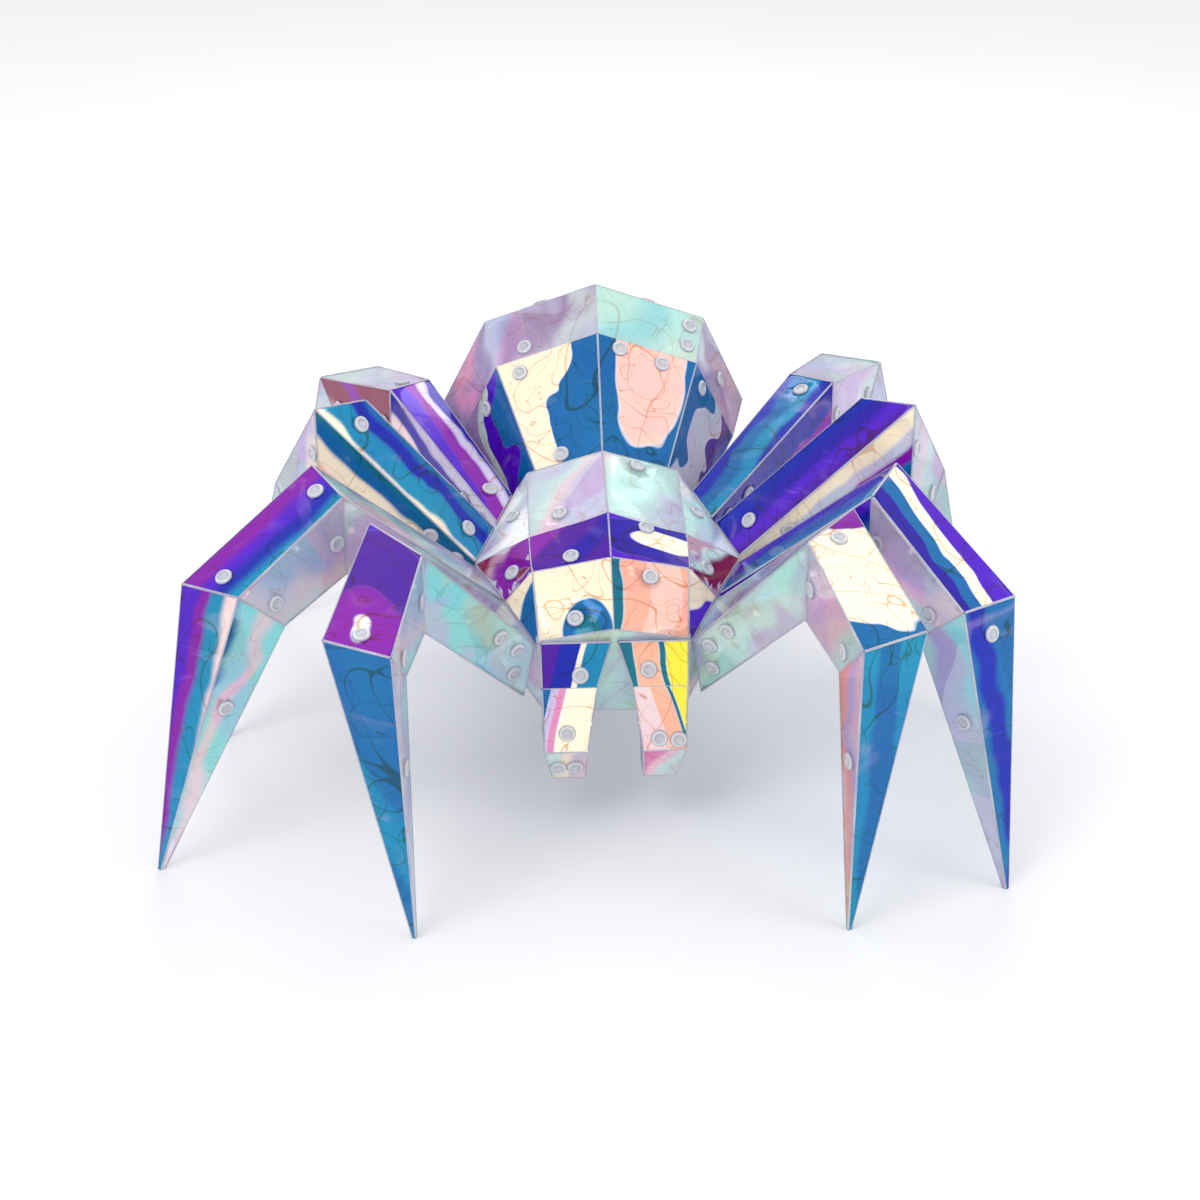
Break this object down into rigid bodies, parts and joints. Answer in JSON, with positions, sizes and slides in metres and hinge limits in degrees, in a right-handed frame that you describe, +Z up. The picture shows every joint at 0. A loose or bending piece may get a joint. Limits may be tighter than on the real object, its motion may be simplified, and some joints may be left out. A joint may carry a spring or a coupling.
{
  "type": "light-up spider decoration",
  "caption": "Faceted spider decoration folded from clear iridescent sheet, with snap rivets and a light string inside; its legs flex at the hips.",
  "frame": {"origin": "on the floor, below the middle of the stance's bounding box", "axes": "+Z up, the head faces -Y, +X across the widest stance"},
  "size_m": [0.5972, 0.551, 0.308],
  "materials": {
    "thorax_sheet": "clear iridescent film, glossy, with frosted folds",
    "belly_sheet": "clear iridescent film, glossy, with frosted folds",
    "face_sheet": "clear iridescent film, glossy, with frosted folds",
    "abdomen_upper_sheet": "clear iridescent film, glossy, with frosted folds",
    "abdomen_lower_sheet": "clear iridescent film, glossy, with frosted folds",
    "abdomen_tail_sheet": "clear iridescent film, glossy, with frosted folds",
    "fang_left_sheet": "clear iridescent film, glossy, with frosted folds",
    "fang_right_sheet": "clear iridescent film, glossy, with frosted folds",
    "rivet_clear": "clear moulded plastic",
    "string_wire": "enamelled copper wire with clear lamp beads",
    "box_plastic": "fine moulded grain",
    "cell_jacket": "printed film jacket, plain",
    "contact_metal": "nickel-plated spring steel",
    "switch_plastic": "satin",
    "left_leg_1_thigh_sheet": "clear iridescent film, glossy, with frosted folds",
    "left_leg_1_shin_sheet": "clear iridescent film, glossy, with frosted folds",
    "left_leg_1_spike_sheet": "clear iridescent film, glossy, with frosted folds",
    "left_leg_2_thigh_sheet": "clear iridescent film, glossy, with frosted folds",
    "left_leg_2_shin_sheet": "clear iridescent film, glossy, with frosted folds",
    "left_leg_2_spike_sheet": "clear iridescent film, glossy, with frosted folds",
    "left_leg_3_thigh_sheet": "clear iridescent film, glossy, with frosted folds",
    "left_leg_3_shin_sheet": "clear iridescent film, glossy, with frosted folds",
    "left_leg_3_spike_sheet": "clear iridescent film, glossy, with frosted folds",
    "left_leg_4_thigh_sheet": "clear iridescent film, glossy, with frosted folds",
    "left_leg_4_shin_sheet": "clear iridescent film, glossy, with frosted folds",
    "left_leg_4_spike_sheet": "clear iridescent film, glossy, with frosted folds",
    "right_leg_1_thigh_sheet": "clear iridescent film, glossy, with frosted folds",
    "right_leg_1_shin_sheet": "clear iridescent film, glossy, with frosted folds",
    "right_leg_1_spike_sheet": "clear iridescent film, glossy, with frosted folds",
    "right_leg_2_thigh_sheet": "clear iridescent film, glossy, with frosted folds",
    "right_leg_2_shin_sheet": "clear iridescent film, glossy, with frosted folds",
    "right_leg_2_spike_sheet": "clear iridescent film, glossy, with frosted folds",
    "right_leg_3_thigh_sheet": "clear iridescent film, glossy, with frosted folds",
    "right_leg_3_shin_sheet": "clear iridescent film, glossy, with frosted folds",
    "right_leg_3_spike_sheet": "clear iridescent film, glossy, with frosted folds",
    "right_leg_4_thigh_sheet": "clear iridescent film, glossy, with frosted folds",
    "right_leg_4_shin_sheet": "clear iridescent film, glossy, with frosted folds",
    "right_leg_4_spike_sheet": "clear iridescent film, glossy, with frosted folds"
  },
  "bodies": {
    "body": {"thorax_shell": "thorax_sheet", "thorax_belly_panel": "belly_sheet", "thorax_face_panel": "face_sheet", "abdomen_upper_shell": "abdomen_upper_sheet", "abdomen_lower_shell": "abdomen_lower_sheet", "abdomen_tail_panel": "abdomen_tail_sheet", "fang_left": "fang_left_sheet", "fang_right": "fang_right_sheet", "body_rivets": "rivet_clear", "body_light_string": "string_wire", "battery_box": "box_plastic", "battery_cells": "cell_jacket", "battery_contacts": "contact_metal"},
    "battery_lid": {"battery_lid": "box_plastic"},
    "power_switch": {"power_switch": "switch_plastic"},
    "left_leg_1": {"left_leg_1_thigh": "left_leg_1_thigh_sheet", "left_leg_1_shin": "left_leg_1_shin_sheet", "left_leg_1_spike": "left_leg_1_spike_sheet", "left_leg_1_rivets": "rivet_clear", "left_leg_1_light_string": "string_wire"},
    "left_leg_2": {"left_leg_2_thigh": "left_leg_2_thigh_sheet", "left_leg_2_shin": "left_leg_2_shin_sheet", "left_leg_2_spike": "left_leg_2_spike_sheet", "left_leg_2_rivets": "rivet_clear", "left_leg_2_light_string": "string_wire"},
    "left_leg_3": {"left_leg_3_thigh": "left_leg_3_thigh_sheet", "left_leg_3_shin": "left_leg_3_shin_sheet", "left_leg_3_spike": "left_leg_3_spike_sheet", "left_leg_3_rivets": "rivet_clear", "left_leg_3_light_string": "string_wire"},
    "left_leg_4": {"left_leg_4_thigh": "left_leg_4_thigh_sheet", "left_leg_4_shin": "left_leg_4_shin_sheet", "left_leg_4_spike": "left_leg_4_spike_sheet", "left_leg_4_rivets": "rivet_clear", "left_leg_4_light_string": "string_wire"},
    "right_leg_1": {"right_leg_1_thigh": "right_leg_1_thigh_sheet", "right_leg_1_shin": "right_leg_1_shin_sheet", "right_leg_1_spike": "right_leg_1_spike_sheet", "right_leg_1_rivets": "rivet_clear", "right_leg_1_light_string": "string_wire"},
    "right_leg_2": {"right_leg_2_thigh": "right_leg_2_thigh_sheet", "right_leg_2_shin": "right_leg_2_shin_sheet", "right_leg_2_spike": "right_leg_2_spike_sheet", "right_leg_2_rivets": "rivet_clear", "right_leg_2_light_string": "string_wire"},
    "right_leg_3": {"right_leg_3_thigh": "right_leg_3_thigh_sheet", "right_leg_3_shin": "right_leg_3_shin_sheet", "right_leg_3_spike": "right_leg_3_spike_sheet", "right_leg_3_rivets": "rivet_clear", "right_leg_3_light_string": "string_wire"},
    "right_leg_4": {"right_leg_4_thigh": "right_leg_4_thigh_sheet", "right_leg_4_shin": "right_leg_4_shin_sheet", "right_leg_4_spike": "right_leg_4_spike_sheet", "right_leg_4_rivets": "rivet_clear", "right_leg_4_light_string": "string_wire"}
  },
  "joints": [
    {"name": "left_leg_1_hip", "type": "hinge", "parent": "body", "child": "left_leg_1", "pos_m": [-0.04761, -0.10088, 0.145], "axis": [-0.4459, 0.8281, 0.3397], "range_deg": [0, 10]},
    {"name": "left_leg_2_hip", "type": "hinge", "parent": "body", "child": "left_leg_2", "pos_m": [-0.06811, -0.06238, 0.1585], "axis": [-0.4512, 0.8572, 0.2481], "range_deg": [0, 10]},
    {"name": "left_leg_3_hip", "type": "hinge", "parent": "body", "child": "left_leg_3", "pos_m": [-0.07011, -0.02297, 0.16975], "axis": [0.353, 0.9005, 0.2538], "range_deg": [0, 10]},
    {"name": "left_leg_4_hip", "type": "hinge", "parent": "body", "child": "left_leg_4", "pos_m": [-0.05411, 0.01784, 0.18125], "axis": [0.353, 0.9005, 0.2538], "range_deg": [0, 10]},
    {"name": "right_leg_1_hip", "type": "hinge", "parent": "body", "child": "right_leg_1", "pos_m": [0.07739, -0.10088, 0.145], "axis": [-0.4459, -0.8281, -0.3397], "range_deg": [0, 10]},
    {"name": "right_leg_2_hip", "type": "hinge", "parent": "body", "child": "right_leg_2", "pos_m": [0.09789, -0.06238, 0.1585], "axis": [-0.4512, -0.8572, -0.2481], "range_deg": [0, 10]},
    {"name": "right_leg_3_hip", "type": "hinge", "parent": "body", "child": "right_leg_3", "pos_m": [0.09989, -0.02297, 0.16975], "axis": [0.353, -0.9005, -0.2538], "range_deg": [0, 10]},
    {"name": "right_leg_4_hip", "type": "hinge", "parent": "body", "child": "right_leg_4", "pos_m": [0.08389, 0.01784, 0.18125], "axis": [0.353, -0.9005, -0.2538], "range_deg": [0, 10]},
    {"name": "battery_lid_hinge", "type": "hinge", "parent": "body", "child": "battery_lid", "pos_m": [0.01489, -0.00958, 0.1046], "axis": [-1, 0, 0], "range_deg": [0, 95]},
    {"name": "power_switch_slide", "type": "slide", "parent": "body", "child": "power_switch", "axis": [1, 0, 0], "range_m": [0, 0.004]}
  ]
}
